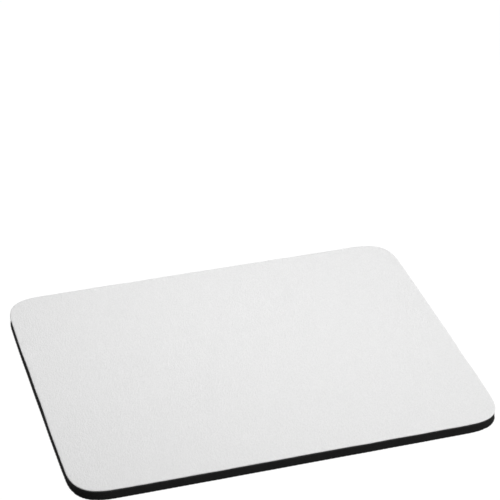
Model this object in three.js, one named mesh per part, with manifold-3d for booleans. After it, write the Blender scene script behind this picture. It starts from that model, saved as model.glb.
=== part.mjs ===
// Mouse pad: a white knitted polyester cloth, bonded by a hot-melt film to a base of black foam
// rubber, and cut through all three layers at once by a die with eased round corners.
// Millimetres, +Z up. The origin is on the desk, under the middle of the pad. X runs along the
// long side and Y runs from the front edge to the back edge.

import * as THREE from "three";
import { mergeVertices } from "three/addons/utils/BufferGeometryUtils.js";
import Module from "manifold-3d";

// Outline of the die. Its steel rule eases into each corner: the bend starts a reach before the
// corner and is tightest in its middle, at a radius near 13. The fullness is the share of the reach
// that the curve's handles have: 0 cuts the corner straight off, and 1 fills it most.
const PAD_WIDTH = 240;
const PAD_DEPTH = 190;
const CORNER_REACH = 26;
const CORNER_FULLNESS = 0.79;
const CORNER_STEPS = 16;

// Thickness of each layer, from the desk up
const FOAM_THICKNESS = 5.3;
const FILM_THICKNESS = 0.2;
const CLOTH_THICKNESS = 0.5;

// Cut edge: the foam springs back a little hollow between its two sharp edges, the film draws
// back from the cut, and the die presses the rim of the cloth round
const WALL_HOLLOW = 0.25;
const WALL_STEPS = 8;
const FILM_SETBACK = 0.15;
const CLOTH_RIM_RADIUS = 0.35;
const RIM_STEPS = 4;

// Grip of the underside: straight grooves along X, pressed into the foam when it was moulded,
// with flat lands between them that stand on the desk. The pitch is the nearest one to this that
// fits a whole number of pairs of grooves over the depth.
const GRIP_PITCH = 3;
const GROOVE_WIDTH = 1.2;
const GROOVE_FLOOR_WIDTH = 0.7;
const GROOVE_DEPTH = 0.3;

// The comb that presses the grooves reaches past the pad on every side
const COMB_MARGIN = 5;
const COMB_ROOT_HEIGHT = -1;
const COMB_BACK_HEIGHT = -3;

const CLOTH_WHITE = 0xe9e9e9;
const FILM_GREY = 0x2c2c2c;
const FOAM_BLACK = 0x202020;

const wasm = await Module();
wasm.setup();

// The die's outline drawn in by inset, as points that run anticlockwise from the right side
function dieOutline(inset) {
  const x = PAD_WIDTH / 2 - inset;
  const y = PAD_DEPTH / 2 - inset;
  const reach = CORNER_REACH - inset;
  const near = reach * (1 - CORNER_FULLNESS);
  const shape = new THREE.Shape();
  shape.moveTo(x, y - reach);
  shape.bezierCurveTo(x, y - near, x - near, y, x - reach, y);
  shape.lineTo(reach - x, y);
  shape.bezierCurveTo(near - x, y, -x, y - near, -x, y - reach);
  shape.lineTo(-x, reach - y);
  shape.bezierCurveTo(-x, near - y, near - x, -y, reach - x, -y);
  shape.lineTo(x - reach, -y);
  shape.bezierCurveTo(x - near, -y, x, near - y, x, reach - y);
  return shape.getPoints(CORNER_STEPS);
}

// A closed slab lofted through die outlines. The profile lists its edge from the bottom up, each
// level with its inset from the die and its height.
function loftSlab(profile) {
  const rings = profile.map(({ inset }) => dieOutline(inset));
  const positions = rings.flatMap((ring, level) =>
    ring.flatMap(({ x, y }) => [x, y, profile[level].height]),
  );
  const count = rings[0].length;
  const topStart = (rings.length - 1) * count;
  const index = [];
  for (const [a, b, c] of THREE.ShapeUtils.triangulateShape(rings[0], [])) {
    index.push(c, b, a);
  }
  for (const [a, b, c] of THREE.ShapeUtils.triangulateShape(rings.at(-1), [])) {
    index.push(topStart + a, topStart + b, topStart + c);
  }
  for (let low = 0; low < topStart; low += count) {
    const high = low + count;
    for (let i = 0; i < count; i += 1) {
      const next = (i + 1) % count;
      index.push(low + i, low + next, high + next);
      index.push(low + i, high + next, high + i);
    }
  }
  const geometry = new THREE.BufferGeometry();
  geometry.setAttribute("position", new THREE.Float32BufferAttribute(positions, 3));
  geometry.setIndex(index);
  return geometry;
}

// A closed geometry as a solid that can be cut
function toSolid(geometry) {
  const bare = geometry.clone();
  bare.deleteAttribute("normal");
  bare.deleteAttribute("uv");
  const merged = mergeVertices(bare);
  return new wasm.Manifold(
    new wasm.Mesh({
      numProp: 3,
      vertProperties: merged.getAttribute("position").array,
      triVerts: new Uint32Array(merged.getIndex().array),
    }),
  );
}

function toGeometry(solid) {
  const { vertProperties, triVerts } = solid.getMesh();
  const geometry = new THREE.BufferGeometry();
  geometry.setAttribute("position", new THREE.BufferAttribute(vertProperties, 3));
  geometry.setIndex(new THREE.BufferAttribute(triVerts, 1));
  return geometry;
}

// Middle of each grip groove along Y, from the back edge to the front edge. A whole land lies on
// the middle of the pad, and half a land along each edge.
function grooveMiddles() {
  const count = 2 * Math.round(PAD_DEPTH / (2 * GRIP_PITCH));
  const pitch = PAD_DEPTH / count;
  return Array.from({ length: count }, (_, row) => PAD_DEPTH / 2 - (row + 0.5) * pitch);
}

// Comb whose teeth are the grooves: its section, in Y and Z, is extruded along X
function gripComb() {
  const halfSpan = PAD_DEPTH / 2 + COMB_MARGIN;
  const section = new THREE.Shape();
  section.moveTo(halfSpan, COMB_BACK_HEIGHT);
  section.lineTo(halfSpan, COMB_ROOT_HEIGHT);
  for (const middle of grooveMiddles()) {
    section.lineTo(middle + GROOVE_WIDTH / 2, COMB_ROOT_HEIGHT);
    section.lineTo(middle + GROOVE_WIDTH / 2, 0);
    section.lineTo(middle + GROOVE_FLOOR_WIDTH / 2, GROOVE_DEPTH);
    section.lineTo(middle - GROOVE_FLOOR_WIDTH / 2, GROOVE_DEPTH);
    section.lineTo(middle - GROOVE_WIDTH / 2, 0);
    section.lineTo(middle - GROOVE_WIDTH / 2, COMB_ROOT_HEIGHT);
  }
  section.lineTo(-halfSpan, COMB_ROOT_HEIGHT);
  section.lineTo(-halfSpan, COMB_BACK_HEIGHT);

  const length = PAD_WIDTH + 2 * COMB_MARGIN;
  const comb = new THREE.ExtrudeGeometry(section, { depth: length, bevelEnabled: false });
  const axisX = new THREE.Vector3(1, 0, 0);
  const axisY = new THREE.Vector3(0, 1, 0);
  const axisZ = new THREE.Vector3(0, 0, 1);
  comb.applyMatrix4(new THREE.Matrix4().makeBasis(axisY, axisZ, axisX));
  return comb.translate(-length / 2, 0, 0);
}

// Foam-rubber base: a slab with a hollow cut wall and a grooved underside
function foamBase() {
  const wall = Array.from({ length: WALL_STEPS + 1 }, (_, step) => ({
    inset: WALL_HOLLOW * Math.sin((Math.PI * step) / WALL_STEPS),
    height: (FOAM_THICKNESS * step) / WALL_STEPS,
  }));
  const grooved = toSolid(loftSlab(wall)).subtract(toSolid(gripComb()));
  return toGeometry(grooved);
}

// Hot-melt film between foam and cloth, set back from the cut edge
function bondFilm() {
  return loftSlab([
    { inset: FILM_SETBACK, height: 0 },
    { inset: FILM_SETBACK, height: FILM_THICKNESS },
  ]);
}

// Face cloth: a thin sheet whose upper rim is pressed round by the cut
function clothFace() {
  const radius = Math.min(CLOTH_RIM_RADIUS, CLOTH_THICKNESS);
  const rim = Array.from({ length: RIM_STEPS + 1 }, (_, step) => {
    const turn = (Math.PI / 2) * (step / RIM_STEPS);
    return {
      inset: radius * (1 - Math.cos(turn)),
      height: CLOTH_THICKNESS - radius * (1 - Math.sin(turn)),
    };
  });
  return loftSlab([{ inset: 0, height: 0 }, ...rim]);
}

// A layer of the pad as a named mesh that lies at a height above the desk
function layer(name, geometry, height, finish) {
  const mesh = new THREE.Mesh(geometry, new THREE.MeshStandardMaterial(finish));
  mesh.name = name;
  mesh.position.z = height;
  geometry.computeVertexNormals();
  return mesh;
}

const mousePad = new THREE.Group();
mousePad.name = "mouse_pad";
mousePad.add(
  layer("foam_base", foamBase(), 0, { color: FOAM_BLACK, roughness: 0.95, metalness: 0 }),
  layer("bond_film", bondFilm(), FOAM_THICKNESS, {
    color: FILM_GREY,
    roughness: 0.5,
    metalness: 0,
  }),
  layer("cloth_face", clothFace(), FOAM_THICKNESS + FILM_THICKNESS, {
    color: CLOTH_WHITE,
    roughness: 0.9,
    metalness: 0,
  }),
);

export default mousePad;
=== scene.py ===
import math

import bmesh
import bpy
from mathutils import Matrix, Vector, geometry, noise


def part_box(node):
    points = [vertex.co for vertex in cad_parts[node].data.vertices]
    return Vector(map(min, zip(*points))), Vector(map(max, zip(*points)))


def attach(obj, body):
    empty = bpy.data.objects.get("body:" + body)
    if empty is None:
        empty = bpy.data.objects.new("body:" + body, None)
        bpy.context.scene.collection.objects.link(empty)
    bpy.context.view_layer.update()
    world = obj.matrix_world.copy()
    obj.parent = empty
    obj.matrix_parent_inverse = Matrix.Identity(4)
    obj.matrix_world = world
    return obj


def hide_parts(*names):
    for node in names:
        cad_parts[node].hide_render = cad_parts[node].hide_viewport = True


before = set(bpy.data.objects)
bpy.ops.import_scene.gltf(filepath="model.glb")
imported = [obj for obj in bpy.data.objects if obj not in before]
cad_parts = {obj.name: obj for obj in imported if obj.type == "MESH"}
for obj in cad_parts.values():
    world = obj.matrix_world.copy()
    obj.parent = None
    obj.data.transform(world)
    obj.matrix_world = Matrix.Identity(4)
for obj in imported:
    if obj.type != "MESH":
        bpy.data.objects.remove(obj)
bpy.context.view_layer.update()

# Foam base: a sheet of black foam rubber, moulded with a waffle of small square feet on its lower
# skin so that it grips the desk, then cut to shape by one stroke of a steel-rule die, whose rule is
# bent softly into each corner. The cut wall springs back a little hollow and shows the fine cells.
_, foam_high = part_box("foam_base")
HALF_WIDTH = foam_high.x
HALF_DEPTH = foam_high.y
CORNER_REACH = 0.022
CORNER_FULLNESS = 0.725
CORNER_STEPS = 32

# The rule of the die over a quarter of the pad, as straight bits, from the right side to the back
corner = Vector((HALF_WIDTH, HALF_DEPTH))
side_bend = Vector((0, CORNER_REACH))
back_bend = Vector((CORNER_REACH, 0))
bend = geometry.interpolate_bezier(
    corner - side_bend,
    corner - side_bend * (1 - CORNER_FULLNESS),
    corner - back_bend * (1 - CORNER_FULLNESS),
    corner - back_bend,
    CORNER_STEPS + 1,
)
rule_points = [Vector((HALF_WIDTH, 0)), *bend, Vector((0, HALF_DEPTH))]
rule = []
for start, end in zip(rule_points, rule_points[1:]):
    along = (end - start).normalized()
    rule.append((start, end, Vector((along.y, -along.x))))

# The pressed foam makes the sides bow out a little, and the cut wanders in long sways that carry
# short ones
SIDE_BOW = 0.0005
END_BOW = 0.0002
CUT_WANDER = 0.0001
SWAY_LENGTH = 0.02
SWAY_LAYER = 44.4
SWAY_FADE = 1
SWAY_SHORTENING = 4
SWAY_OCTAVES = 2


def on_die(point, inset, wander):
    """The place on the cut, drawn in by inset, that a point near the edge belongs to."""
    quarter = Vector((math.copysign(1, point.x), math.copysign(1, point.y)))
    nearest = []
    for start, end, outward in rule:
        _, share = geometry.intersect_point_line(point.xy * quarter, start, end)
        place = start.lerp(end, max(0, min(1, share)))
        nearest.append(((place - point.xy * quarter).length, place * quarter, outward * quarter))
    _, outline, outward = min(nearest, key=lambda found: found[0])
    in_sways = (*(outline / SWAY_LENGTH), SWAY_LAYER)
    sway = wander * noise.fractal(in_sways, SWAY_FADE, SWAY_SHORTENING, SWAY_OCTAVES)
    across = outline.x / HALF_WIDTH
    deep = outline.y / HALF_DEPTH
    bow = Vector((SIDE_BOW * across * (1 - deep**2), END_BOW * deep * (1 - across**2)))
    return outline + bow + outward * (sway - inset)


def open_rim(sheet):
    """The edges of a sheet that have a face on one side only."""
    return [edge for edge in sheet.edges if edge.is_boundary]


# The die reaches only the faces of a sheet that come this near to its edge
CUT_MARGIN = 0.009
CUT_SNAP = 1e-6
UNCUT_X = HALF_WIDTH - CUT_MARGIN
UNCUT_Y = HALF_DEPTH - CUT_MARGIN


def cut_with_die(sheet, inset):
    """Trims a flat sheet to the die's outline, drawn in by inset, one quarter after the other."""
    for right, back in ((1, 1), (-1, 1), (-1, -1), (1, -1)):
        quarter = Vector((right, back))
        faces = [
            face
            for face in sheet.faces
            if any(v.co.x * right > UNCUT_X or v.co.y * back > UNCUT_Y for v in face.verts)
        ]
        edges = list(dict.fromkeys(edge for face in faces for edge in face.edges))
        verts = list(dict.fromkeys(vert for face in faces for vert in face.verts))
        geom = verts + edges + faces
        for start, _, outward in rule:
            normal = (outward * quarter).to_3d()
            geom = bmesh.ops.bisect_plane(
                sheet,
                geom=geom,
                dist=CUT_SNAP,
                plane_co=(start * quarter).to_3d() - normal * inset,
                plane_no=normal,
                clear_outer=True,
            )["geom"]
    for vert in dict.fromkeys(vert for edge in open_rim(sheet) for vert in edge.verts):
        vert.co.xy = on_die(vert.co, inset, CUT_WANDER)


def extend_rim(sheet, inset, height, wander=CUT_WANDER):
    """Adds a strip of faces from the open rim to the die's outline at that inset and height."""
    strip = bmesh.ops.extrude_edge_only(sheet, edges=open_rim(sheet))["geom"]
    for vert in strip:
        if isinstance(vert, bmesh.types.BMVert):
            vert.co = (*on_die(vert.co, inset, wander), height)


def close_rim(sheet):
    """Closes the open rim with one face."""
    bmesh.ops.edgeloop_fill(sheet, edges=open_rim(sheet))


GRIP_PITCH = 0.003
GROOVE_WIDTH = 0.0012
GROOVE_FLOOR_WIDTH = 0.0007
GROOVE_DEPTH = 0.0003

# A foot lies on the middle of the pad and others along its edges, so the sheet that the die cuts is
# half a foot too large all round
feet_across = 2 * round(HALF_WIDTH / GRIP_PITCH)
feet_deep = 2 * round(HALF_DEPTH / GRIP_PITCH)
sheet_size = Matrix.Diagonal(
    (HALF_WIDTH * (1 + 1 / feet_across), HALF_DEPTH * (1 + 1 / feet_deep), 1, 1)
)
foam = bmesh.new()
bmesh.ops.create_grid(
    foam, x_segments=feet_across + 1, y_segments=feet_deep + 1, size=1, matrix=sheet_size
)
bmesh.ops.reverse_faces(foam, faces=foam.faces[:])
bmesh.ops.translate(foam, verts=foam.verts[:], vec=(0, 0, GROOVE_DEPTH))
feet = foam.faces[:]
bmesh.ops.inset_individual(foam, faces=feet, thickness=GROOVE_FLOOR_WIDTH / 2)
bmesh.ops.inset_individual(
    foam, faces=feet, thickness=(GROOVE_WIDTH - GROOVE_FLOOR_WIDTH) / 2, depth=GROOVE_DEPTH
)
cut_with_die(foam, 0)

# The wall rises from just above the grooves to the top edge. The die went in a little slanted, so
# the foot of the cut lies nearer to the front left than its top. At the corners, where the rule is
# bent, the foot is drawn in sideways.
WALL_FOOT = 0.0005
WALL_HOLLOW = 0.00025
WALL_STEPS = 10
FOOT_SHIFT = Vector((-0.00006, -0.0002))
CORNER_TUCK = 0.0003
TUCK_REACH = 0.032
for step in range(WALL_STEPS + 1):
    share = step / WALL_STEPS
    height = WALL_FOOT + (foam_high.z - WALL_FOOT) * share
    extend_rim(foam, WALL_HOLLOW * math.sin(math.pi * height / foam_high.z), height)
close_rim(foam)
for vert in foam.verts:
    x, y, z = vert.co
    from_corner = math.hypot(HALF_WIDTH - abs(x), HALF_DEPTH - abs(y))
    tuck = CORNER_TUCK * max(0, 1 - from_corner / TUCK_REACH)
    lean = FOOT_SHIFT - Vector((math.copysign(tuck, x), 0))
    vert.co.xy += lean * (1 - z / foam_high.z)


def add_node(tree, kind, inputs, **settings):
    """A new node with its settings, and its inputs linked to sockets or set to values."""
    node = tree.nodes.new(kind)
    for name, value in settings.items():
        setattr(node, name, value)
    for name, value in inputs.items():
        if isinstance(value, bpy.types.NodeSocket):
            tree.links.new(value, node.inputs[name])
        else:
            node.inputs[name].default_value = value
    return node


def add_math(tree, operation, *terms):
    """The result of arithmetic on sockets and numbers."""
    result = add_node(tree, "ShaderNodeMath", dict(enumerate(terms)), operation=operation)
    return result.outputs["Value"]


def new_group(name, inputs, outputs):
    """An empty shader node group with named sockets, and its input and output nodes."""
    group = bpy.data.node_groups.new(name, "ShaderNodeTree")
    for socket, kind in inputs.items():
        group.interface.new_socket(socket, in_out="INPUT", socket_type=kind)
    for socket, kind in outputs.items():
        group.interface.new_socket(socket, in_out="OUTPUT", socket_type=kind)
    return group, group.nodes.new("NodeGroupInput").outputs, group.nodes.new("NodeGroupOutput")


# Soft spots: a value round a half, in spots of a given width and of a given length along Y
SPOT_DETAIL = 2
SPOT_ROUGHNESS = 0.55
soft_spots, spots_in, spots_out = new_group(
    "soft_spots",
    {"Vector": "NodeSocketVector", "Width": "NodeSocketFloat", "Length": "NodeSocketFloat"},
    {"Value": "NodeSocketFloat"},
)
spot_size = add_node(
    soft_spots,
    "ShaderNodeCombineXYZ",
    {"X": spots_in["Width"], "Y": spots_in["Length"], "Z": spots_in["Width"]},
)
in_spots = add_node(
    soft_spots,
    "ShaderNodeVectorMath",
    {0: spots_in["Vector"], 1: spot_size.outputs["Vector"]},
    operation="DIVIDE",
)
spots = add_node(
    soft_spots,
    "ShaderNodeTexNoise",
    {
        "Vector": in_spots.outputs["Vector"],
        "Scale": 1,
        "Detail": SPOT_DETAIL,
        "Roughness": SPOT_ROUGHNESS,
    },
)
soft_spots.links.new(spots.outputs["Fac"], spots_out.inputs["Value"])

# Uneven tone: a colour made lighter and darker by a value that lies round a half
EVEN_VALUE = 0.5
uneven_tone, tone_in, tone_out = new_group(
    "uneven_tone",
    {"Colour": "NodeSocketColor", "Value": "NodeSocketFloat", "Amount": "NodeSocketFloat"},
    {"Colour": "NodeSocketColor"},
)
swing = add_math(uneven_tone, "SUBTRACT", tone_in["Value"], EVEN_VALUE)
factor = add_math(uneven_tone, "MULTIPLY_ADD", swing, tone_in["Amount"], 1)
toned = add_node(
    uneven_tone,
    "ShaderNodeVectorMath",
    {0: tone_in["Colour"], "Scale": factor},
    operation="SCALE",
)
uneven_tone.links.new(toned.outputs["Vector"], tone_out.inputs["Colour"])


def new_material(name, finish):
    """A material, its tree, its Principled shader with a plain finish set on it, and coordinates."""
    material = bpy.data.materials.new(name)
    material.use_nodes = True
    tree = material.node_tree
    shader = tree.nodes["Principled BSDF"]
    for socket, value in finish.items():
        shader.inputs[socket].default_value = value
    place = tree.nodes.new("ShaderNodeTexCoord").outputs["Object"]
    return material, tree, shader, place


def add_spots(tree, place, width, length):
    """The value of soft spots of that size."""
    sizes = {"Vector": place, "Width": width, "Length": length}
    return add_node(tree, "ShaderNodeGroup", sizes, node_tree=soft_spots).outputs["Value"]


def add_tone(tree, colour, value, amount):
    """The colour made uneven by a value."""
    inputs = {"Colour": colour, "Value": value, "Amount": amount}
    return add_node(tree, "ShaderNodeGroup", inputs, node_tree=uneven_tone).outputs["Colour"]


def add_bump(tree, shader, height, depth):
    """Relief of that depth on the shader's surface."""
    relief = {"Height": height, "Strength": 1, "Distance": depth}
    bump = add_node(tree, "ShaderNodeBump", relief)
    tree.links.new(bump.outputs["Normal"], shader.inputs["Normal"])


FOAM_BLACK = (0.018, 0.018, 0.018, 1)
FOAM_CLOUD_SIZE = 0.006
FOAM_CLOUD_SHADE = 0.5
CELL_SIZE = 0.00045
CELL_SHADE = 0.6
CELL_DEPTH = 0.00009
DIMPLE_SIZE = 2 * CELL_SIZE
black_foam, tree, shader, place = new_material("black_foam_rubber", {"Specular IOR Level": 0.04})
clouds = add_spots(tree, place, FOAM_CLOUD_SIZE, FOAM_CLOUD_SIZE)
tone = add_tone(tree, FOAM_BLACK, clouds, FOAM_CLOUD_SHADE)
cell_map = add_node(tree, "ShaderNodeTexVoronoi", {"Vector": place, "Scale": 1 / CELL_SIZE})
cells = cell_map.outputs["Distance"]
tone = add_tone(tree, tone, cells, CELL_SHADE)

# Below the cut lies the moulded skin, which is smoother and has its cells closed
SKIN_TOP = 0.0004
CUT_START = 0.0007
SKIN_ROUGHNESS = 0.72
CUT_ROUGHNESS = 0.88
height = add_node(tree, "ShaderNodeSeparateXYZ", {"Vector": place}).outputs["Z"]
cut = add_node(
    tree, "ShaderNodeMapRange", {"Value": height, "From Min": SKIN_TOP, "From Max": CUT_START}
).outputs["Result"]
roughness = add_math(tree, "MULTIPLY_ADD", cut, CUT_ROUGHNESS - SKIN_ROUGHNESS, SKIN_ROUGHNESS)
open_cells = add_math(tree, "MULTIPLY", cells, cut)
dimples = add_spots(tree, place, DIMPLE_SIZE, DIMPLE_SIZE)
relief = add_math(tree, "ADD", open_cells, dimples)

# Along its top edge the cut is dusted with lint from the cloth
LINT_FOOT = 0.0043
LINT_SHADE = 5
lint = add_node(
    tree,
    "ShaderNodeMapRange",
    {"Value": height, "From Min": LINT_FOOT, "From Max": foam_high.z, "To Min": EVEN_VALUE},
).outputs["Result"]
tone = add_tone(tree, tone, lint, LINT_SHADE)
tree.links.new(tone, shader.inputs["Base Color"])
tree.links.new(roughness, shader.inputs["Roughness"])
add_bump(tree, shader, relief, CELL_DEPTH)

SHARP_ANGLE = math.radians(30)


def finish_piece(model, name, material, node):
    """Makes a modelled mesh an object that stands for a node of the frame."""
    bmesh.ops.recalc_face_normals(model, faces=model.faces[:])
    for face in model.faces:
        face.smooth = True
    for edge in model.edges:
        edge.smooth = edge.calc_face_angle(0) < SHARP_ANGLE
    mesh = bpy.data.meshes.new(name)
    model.to_mesh(mesh)
    model.free()
    mesh.materials.append(material)
    piece = bpy.data.objects.new(name, mesh)
    bpy.context.scene.collection.objects.link(piece)
    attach(piece, "root")
    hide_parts(node)
    return piece


foam_slab = finish_piece(foam, "foam_slab", black_foam, "foam_base")

# Bond film: a thin hot-melt film that was laid between foam and cloth and melted in a press. It
# draws back from the cut, so that it shows only as a dark hairline in the edge.
film_low, film_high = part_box("bond_film")
FILM_SETBACK = HALF_WIDTH - film_high.x
whole_pad = Matrix.Diagonal((HALF_WIDTH, HALF_DEPTH, 1, 1))
film = bmesh.new()
bmesh.ops.create_grid(film, x_segments=1, y_segments=1, size=1, matrix=whole_pad)
bmesh.ops.translate(film, verts=film.verts[:], vec=(0, 0, film_high.z))
cut_with_die(film, FILM_SETBACK)
extend_rim(film, FILM_SETBACK, film_low.z)
close_rim(film)

FILM_GREY = (0.02, 0.02, 0.02, 1)
LUMP_SIZE = 0.002
LUMP_SHADE = 0.6
LUMP_DEPTH = 0.0001
melt_film, tree, shader, place = new_material(
    "hot_melt_film", {"Roughness": 0.5, "Specular IOR Level": 0.2}
)
lumps = add_spots(tree, place, LUMP_SIZE, LUMP_SIZE)
tree.links.new(add_tone(tree, FILM_GREY, lumps, LUMP_SHADE), shader.inputs["Base Color"])
add_bump(tree, shader, lumps, LUMP_DEPTH)
finish_piece(film, "glue_film", melt_film, "bond_film")

# Face cloth: a fine white polyester knit, bonded flat to the foam. Its wales run from front to back,
# under a matt nap that was brushed a little aslant. The die pinches the foam down along the cut and
# presses the rim of the cloth round.
cloth_low, cloth_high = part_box("cloth_face")
RELIEF_CELL = 0.0025
RIM_CUTS = 4
CLOTH_WANDER = 0.0003
cloth = bmesh.new()
bmesh.ops.create_grid(
    cloth,
    x_segments=round(2 * HALF_WIDTH / RELIEF_CELL),
    y_segments=round(2 * HALF_DEPTH / RELIEF_CELL),
    size=1,
    matrix=whole_pad,
)
bmesh.ops.translate(cloth, verts=cloth.verts[:], vec=(0, 0, cloth_high.z))

# The pinched border, the round rim and the cut side follow one after the other from the flat
PINCH_REACH = 0.0016
PINCH_DROP = 0.00006
PINCH_STEPS = 4
RIM_RADIUS = 0.00035
RIM_STEPS = 6
RELIEF_HEIGHT = 0.00004
RELIEF_LENGTH = 0.012
cut_with_die(cloth, PINCH_REACH)
bmesh.ops.subdivide_edges(cloth, edges=open_rim(cloth), cuts=RIM_CUTS)
for step in range(1, PINCH_STEPS + 1):
    share = step / PINCH_STEPS
    inset = PINCH_REACH + (RIM_RADIUS - PINCH_REACH) * share
    extend_rim(cloth, inset, cloth_high.z - PINCH_DROP * share**2, CLOTH_WANDER)
for step in range(1, RIM_STEPS + 1):
    turn = math.radians(90) * step / RIM_STEPS
    inset = RIM_RADIUS * (1 - math.sin(turn))
    drop = PINCH_DROP + RIM_RADIUS * (1 - math.cos(turn))
    extend_rim(cloth, inset, cloth_high.z - drop, CLOTH_WANDER)
for vert in cloth.verts:
    vert.co.z += RELIEF_HEIGHT * noise.noise(vert.co.xy.to_3d() / RELIEF_LENGTH)
extend_rim(cloth, 0, cloth_low.z, CLOTH_WANDER)
close_rim(cloth)

CLOTH_WHITE = (0.79, 0.79, 0.79, 1)
CLOTH_CLOUD_WIDTH = 0.009
CLOTH_CLOUD_LENGTH = 0.012
CLOTH_CLOUD_SHADE = 0.02
FIBRE_WIDTH = 0.0007
FIBRE_LENGTH = 0.0013
FIBRE_PAINTED_SHADE = 0.145
NAP_SLANT = math.radians(20)
NAP_DEPTH = 0.0002
white_cloth, tree, shader, place = new_material(
    "white_knit_cloth",
    {"Roughness": 0.95, "Specular IOR Level": 0.15, "Sheen Weight": 0.1, "Sheen Roughness": 0.5},
)
clouds = add_spots(tree, place, CLOTH_CLOUD_WIDTH, CLOTH_CLOUD_LENGTH)
along_nap = add_node(
    tree, "ShaderNodeVectorRotate", {"Vector": place, "Angle": NAP_SLANT}, rotation_type="Z_AXIS"
)
fibres = add_spots(tree, along_nap.outputs["Vector"], FIBRE_WIDTH, FIBRE_LENGTH)
tone = add_tone(tree, CLOTH_WHITE, clouds, CLOTH_CLOUD_SHADE)
# The fibres also darken and lighten the white: painted shade in the hollows between the fibres of the
# nap and painted light on their tops, standing in for their own small shadows
tone = add_tone(tree, tone, fibres, FIBRE_PAINTED_SHADE)

# Knitted rows: at a scale of 1, the wave texture repeats after a tenth of pi
WAVE_LENGTH = math.pi / 10
WALE_WIDTH = 0.00046
COURSE_LENGTH = 0.0004
KNIT_SHARE = 0.08


def add_stitches(tree, place, direction, pitch):
    """Even ridges across one direction, swaying a little as knitted rows do."""
    ridges = {
        "Vector": place,
        "Scale": WAVE_LENGTH / pitch,
        "Distortion": 2,
        "Detail": 1,
        "Detail Scale": 0.2,
    }
    return add_node(tree, "ShaderNodeTexWave", ridges, bands_direction=direction).outputs["Fac"]


wales = add_stitches(tree, place, "X", WALE_WIDTH)
courses = add_stitches(tree, place, "Y", COURSE_LENGTH)
knit = add_math(tree, "ADD", wales, courses)
relief = add_math(tree, "MULTIPLY_ADD", knit, KNIT_SHARE, fibres)
tree.links.new(tone, shader.inputs["Base Color"])
add_bump(tree, shader, relief, NAP_DEPTH)

face_cloth = finish_piece(cloth, "face_cloth", white_cloth, "cloth_face")

# Floor: a plain pale studio floor, a hair below the feet so that the two never share a plane. To the
# camera it glows, so that it is white all over, and the glow dies away in the narrow shadow where the
# pad meets it.
FLOOR_REACH = 4.0
FLOOR_DROP = 0.000005
floor_model = bmesh.new()
bmesh.ops.create_grid(floor_model, x_segments=1, y_segments=1, size=FLOOR_REACH)
bmesh.ops.translate(floor_model, verts=floor_model.verts[:], vec=(0, 0, -FLOOR_DROP))
floor_mesh = bpy.data.meshes.new("floor")
floor_model.to_mesh(floor_mesh)
floor_model.free()
floor = bpy.data.objects.new("floor", floor_mesh)
bpy.context.scene.collection.objects.link(floor)


def seen_rays(tree):
    """1 where a ray of the camera, a gloss or glass sees the surface, and 0 where it only lights."""
    path = tree.nodes.new("ShaderNodeLightPath").outputs
    seen = path["Is Camera Ray"]
    for kind in ("Is Glossy Ray", "Is Transmission Ray"):
        seen = add_math(tree, "MAXIMUM", seen, path[kind])
    return seen


WHITE = (1, 1, 1, 1)
FLOOR_TONE = 0.3
SEEN_FLOOR_TONE = 0.06
FLOOR_GLOW = 0.985
CONTACT_REACH = 0.0004
CONTACT_DEPTH = 6
white_floor, tree, shader, place = new_material(
    "white_floor", {"Roughness": 1, "Specular IOR Level": 0, "Emission Color": WHITE}
)
seen = seen_rays(tree)
tone = add_math(tree, "MULTIPLY_ADD", seen, SEEN_FLOOR_TONE - FLOOR_TONE, FLOOR_TONE)
contact = add_node(tree, "ShaderNodeAmbientOcclusion", {"Distance": CONTACT_REACH}).outputs["AO"]
dying = add_math(tree, "POWER", contact, CONTACT_DEPTH)
open_glow = add_math(tree, "MULTIPLY", seen, FLOOR_GLOW)
glow = add_math(tree, "MULTIPLY", open_glow, dying)
tree.links.new(tone, shader.inputs["Base Color"])
tree.links.new(glow, shader.inputs["Emission Strength"])
floor_mesh.materials.append(white_floor)

# Light: a white room that is brighter on the right, with one soft panel straight above the back of
# the pad and another at its front right.
ROOM_LIGHT = 0.3
ROOM_SWING = 0.25
world = bpy.data.worlds.new("studio")
bpy.context.scene.world = world
world.use_nodes = True
tree = world.node_tree
outlook = tree.nodes.new("ShaderNodeTexCoord").outputs["Generated"]
rightward = add_node(tree, "ShaderNodeSeparateXYZ", {"Vector": outlook}).outputs["X"]
room = add_math(tree, "MULTIPLY_ADD", rightward, ROOM_SWING, ROOM_LIGHT)
strength = add_math(tree, "MAXIMUM", room, seen_rays(tree))
background = tree.nodes["Background"]
background.inputs["Color"].default_value = WHITE
tree.links.new(strength, background.inputs["Strength"])


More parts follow.
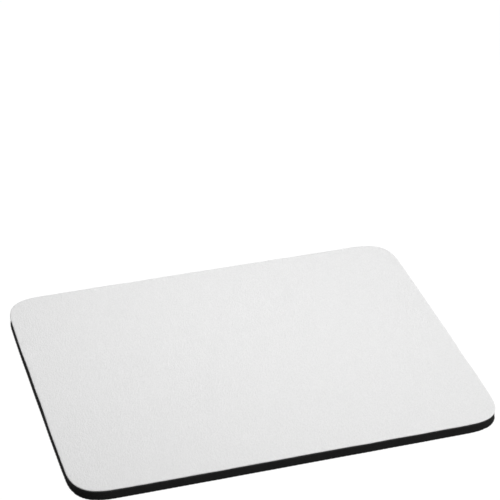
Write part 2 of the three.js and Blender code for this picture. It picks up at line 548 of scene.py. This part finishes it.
def soft_panel(name, place, towards, size, power):
    """A square light panel that faces a point, and that the camera doesn't see."""
    light = bpy.data.lights.new(name, "AREA")
    light.size = size
    light.energy = power
    panel = bpy.data.objects.new(name, light)
    panel.location = place
    panel.rotation_euler = (place - towards).to_track_quat("Z", "Y").to_euler()
    panel.visible_camera = False
    bpy.context.scene.collection.objects.link(panel)


PAD_MIDDLE = Vector((0, 0, 0))
TOP_PANEL_SPOT = Vector((0.022, 0.092, 0))
TOP_PANEL_RISE = Vector((0, 0, 0.44))
FRONT_PANEL_PLACE = Vector((0.62, -0.6, 0.55))
soft_panel("top_panel", TOP_PANEL_SPOT + TOP_PANEL_RISE, TOP_PANEL_SPOT, size=0.35, power=1.29)
soft_panel("front_panel", FRONT_PANEL_PLACE, PAD_MIDDLE, size=0.7, power=4.75)

# Camera: a long lens that looks down on the pad from the front left, placed so that the pad's outline
# lies on the photograph's.
CAMERA_AZIMUTH = math.radians(-17.0008)
CAMERA_ELEVATION = math.radians(31.9186)
CAMERA_ROLL = math.radians(0.363)
CAMERA_DISTANCE = 1.25378
CAMERA_AIM = Vector((0.0391095, 0.1187514, 0))
FOCAL_PIXELS = 2012.274
FRAME_PIXELS = 500
lens = bpy.data.cameras.new("camera")
lens.lens = lens.sensor_width * FOCAL_PIXELS / FRAME_PIXELS
camera = bpy.data.objects.new("camera", lens)
back = Vector(
    (
        math.sin(CAMERA_AZIMUTH) * math.cos(CAMERA_ELEVATION),
        -math.cos(CAMERA_AZIMUTH) * math.cos(CAMERA_ELEVATION),
        math.sin(CAMERA_ELEVATION),
    )
)
level = Vector((math.cos(CAMERA_AZIMUTH), math.sin(CAMERA_AZIMUTH), 0))
upright = back.cross(level)
right = math.cos(CAMERA_ROLL) * level + math.sin(CAMERA_ROLL) * upright
up = back.cross(right)
facing = Matrix((right, up, back)).transposed().to_4x4()
camera.matrix_world = Matrix.Translation(CAMERA_AIM + CAMERA_DISTANCE * back) @ facing
bpy.context.scene.collection.objects.link(camera)
bpy.context.scene.camera = camera
bpy.context.scene.view_settings.view_transform = "Standard"
